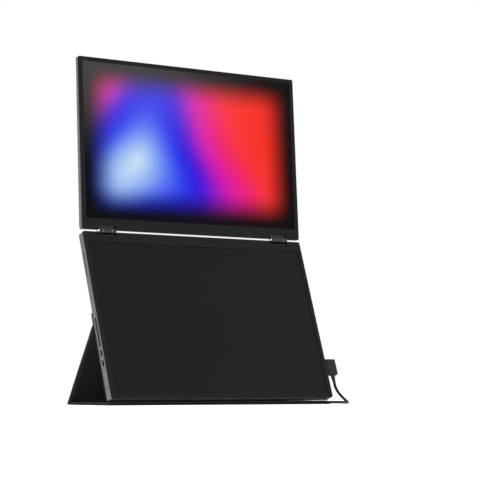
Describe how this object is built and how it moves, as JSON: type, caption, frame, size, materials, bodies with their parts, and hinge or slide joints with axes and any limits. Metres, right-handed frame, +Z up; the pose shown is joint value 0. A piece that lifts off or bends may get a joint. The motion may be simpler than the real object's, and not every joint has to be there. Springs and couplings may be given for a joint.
{
  "type": "laptop screen extender",
  "caption": "Stacked folding portable display: an upper screen case on friction hinges over a lower case that leans on a folding stand, with side sockets, buttons and a cable.",
  "frame": {"origin": "on the underside of the stand's base board, midway between its side edges, where the part stands on the table", "axes": "+X to the user's right along the hinges, +Y away from the user, +Z up"},
  "size_m": [0.419, 0.2469, 0.4724],
  "materials": {
    "lower_shell": "satin grey",
    "end_cover": "satin grey",
    "upper_shell": "satin grey",
    "lower_frame": "matte",
    "upper_frame": "matte",
    "lower_glass": "satin",
    "upper_glass": "lit picture",
    "light_guide": "clear",
    "board": "solder mask",
    "board_black": "solder mask",
    "socket_steel": "drawn",
    "speaker_box": "matte",
    "hinge_black": "black",
    "pin_steel": "turned",
    "spring_steel": "hardened",
    "screw_steel": "zinc",
    "bumper_rubber": "soft",
    "flat_cable": "film",
    "button_black": "satin",
    "stand_leather": "fine grain",
    "fold_leather": "fine grain",
    "stand_core": "fibreboard",
    "magnet": "nickel",
    "grip_rubber": "ribbed",
    "plug_plastic": "ribbed",
    "cable_rubber": "satin",
    "tie_fabric": "hook and loop"
  },
  "bodies": {
    "lower_unit": {"lower_rear_shell": "lower_shell", "lower_end_cover": "end_cover", "lower_bezel": "lower_frame", "lower_screen": "lower_glass", "lower_backlight": "light_guide", "main_board": "board", "usb_sockets": "socket_steel", "button_board": "board_black", "speakers": "speaker_box", "hinge_lower_leaves": "hinge_black", "hinge_pins": "pin_steel", "hinge_disc_springs": "spring_steel", "hinge_lower_screws": "screw_steel", "front_bumpers": "bumper_rubber", "display_cable": "flat_cable", "stand_back_cover": "stand_leather", "stand_back_board": "stand_core", "fold_skin_top": "fold_leather", "usb_plug": "plug_plastic", "plug_relief": "cable_rubber", "cable_run": "cable_rubber", "cable_coil": "cable_rubber", "cable_tie": "tie_fabric", "cable_tail": "cable_rubber", "far_plug": "plug_plastic"},
    "upper_unit": {"upper_rear_shell": "upper_shell", "upper_bezel": "upper_frame", "upper_screen": "upper_glass", "upper_backlight": "light_guide", "driver_board": "board", "hinge_upper_leaves": "hinge_black", "hinge_upper_screws": "screw_steel"},
    "stand_leg": {"stand_leg_cover": "stand_leather", "stand_leg_board": "stand_core", "fold_skin_foot": "fold_leather"},
    "stand_base": {"stand_base_cover": "stand_leather", "stand_base_board": "stand_core", "stand_magnets": "magnet", "stand_grip_strip": "grip_rubber"},
    "power_button": {"power_button": "button_black"},
    "plus_button": {"plus_button": "button_black"},
    "minus_button": {"minus_button": "button_black"}
  },
  "joints": [
    {"name": "screen_hinge", "type": "hinge", "parent": "lower_unit", "child": "upper_unit", "pos_m": [0, 0.01853, 0.23423], "axis": [1, 0, 0], "range_deg": [-16, 163.9]},
    {"name": "stand_leg_fold", "type": "hinge", "parent": "lower_unit", "child": "stand_leg", "pos_m": [0, -0.01141, 0.10354], "axis": [-1, 0, 0], "range_deg": [0, 52.3], "deforming": ["fold_skin_top"]},
    {"name": "stand_base_fold", "type": "hinge", "parent": "stand_leg", "child": "stand_base", "pos_m": [0, 0.05993, 0], "axis": [1, 0, 0], "range_deg": [0, 302.4], "deforming": ["fold_skin_foot"]},
    {"name": "power_button_press", "type": "slide", "parent": "lower_unit", "child": "power_button", "axis": [1, 0, 0], "range_m": [0, 0.0004], "stiffness_N_per_m": 800},
    {"name": "plus_button_press", "type": "slide", "parent": "lower_unit", "child": "plus_button", "axis": [1, 0, 0], "range_m": [0, 0.0004], "stiffness_N_per_m": 800},
    {"name": "minus_button_press", "type": "slide", "parent": "lower_unit", "child": "minus_button", "axis": [1, 0, 0], "range_m": [0, 0.0004], "stiffness_N_per_m": 800}
  ],
  "couplings": [
    {"joint": "stand_base_fold", "follows": "stand_leg_fold", "ratio": 5.782}
  ]
}
